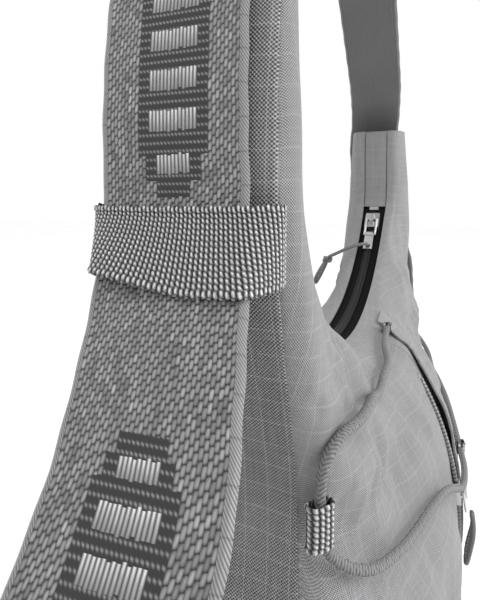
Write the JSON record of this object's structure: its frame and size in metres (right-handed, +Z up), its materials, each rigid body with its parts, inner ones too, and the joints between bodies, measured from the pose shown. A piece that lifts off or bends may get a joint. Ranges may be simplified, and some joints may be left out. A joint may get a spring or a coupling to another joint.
{
  "type": "sling bag",
  "caption": "Crescent sling bag with a wide webbing shoulder strap, a curved top zip, a centred front pocket zip and laced bungee cord.",
  "frame": {"origin": "middle of the bag's box, on the flat base", "axes": "+Z up, X along the bag's length with the opened end of the zip's travel towards -X, front panel faces -Y"},
  "size_m": [0.478, 0.1291, 0.4532],
  "materials": {
    "shell_fabric": "ripstop weave, matt",
    "lining_fabric": "plain weave, matt",
    "strap_webbing": "jacquard webbing, silky",
    "ribbed_webbing": "ribbed webbing",
    "stiffener": "matt sheet",
    "zip_black": "woven tape, matt",
    "zip_coil": "moulded coil",
    "zip_metal": "satin plated",
    "cord": "braided sheath"
  },
  "bodies": {
    "bag": {"front_left_panel": "shell_fabric", "front_right_panel": "shell_fabric", "back_panel": "shell_fabric", "left_gusset": "shell_fabric", "right_gusset": "shell_fabric", "base_panel": "shell_fabric", "base_board": "stiffener", "inner_slip_pocket": "lining_fabric", "front_pocket_lining": "lining_fabric", "left_neck_facing": "shell_fabric", "right_neck_facing": "shell_fabric", "left_neck_cap": "shell_fabric", "right_neck_cap": "shell_fabric", "front_placket": "shell_fabric", "main_zip_tape": "zip_black", "main_zip_coil": "zip_coil", "main_zip_stops": "zip_metal", "front_zip_tape": "zip_black", "front_zip_coil": "zip_coil", "front_zip_stops": "zip_metal", "shoulder_strap": "strap_webbing", "strap_end_stitching": "ribbed_webbing", "left_keeper": "ribbed_webbing", "right_keeper": "ribbed_webbing", "left_cord_tab": "ribbed_webbing", "right_cord_tab": "ribbed_webbing", "bungee_cord": "cord", "top_cord_anchor": "ribbed_webbing", "lower_cord_anchor": "ribbed_webbing"},
    "main_slider": {"main_slider": "zip_metal"},
    "main_puller": {"main_bail": "zip_metal", "main_pull_tab": "zip_metal"},
    "main_pull_cord": {"main_pull_cord": "cord", "main_cord_knot": "cord"},
    "front_slider": {"front_slider": "zip_metal"},
    "front_puller": {"front_pull_ring": "zip_metal", "front_pull_cord": "cord"}
  },
  "joints": [
    {"name": "main_slider_travel", "type": "hinge", "parent": "bag", "child": "main_slider", "pos_m": [0, 0, 0.371], "axis": [0, 1, 0], "range_deg": [0, 80]},
    {"name": "main_puller_flip", "type": "hinge", "parent": "main_slider", "child": "main_puller", "pos_m": [0.13202, 0, 0.23898], "axis": [0, 1, 0], "range_deg": [0, 120]},
    {"name": "pull_cord_swing", "type": "hinge", "parent": "main_puller", "child": "main_pull_cord", "pos_m": [0.11236, 0, 0.21933], "axis": [-0.7071, 0, 0.7071], "range_deg": [-45, 0]},
    {"name": "front_slider_travel", "type": "hinge", "parent": "bag", "child": "front_slider", "pos_m": [0, 0.095, 0.08], "axis": [1, 0, 0], "range_deg": [0, 19]},
    {"name": "front_puller_flip", "type": "hinge", "parent": "front_slider", "child": "front_puller", "pos_m": [-0.001, -0.06681, 0.10274], "axis": [-1, 0, 0], "range_deg": [0, 120]}
  ]
}
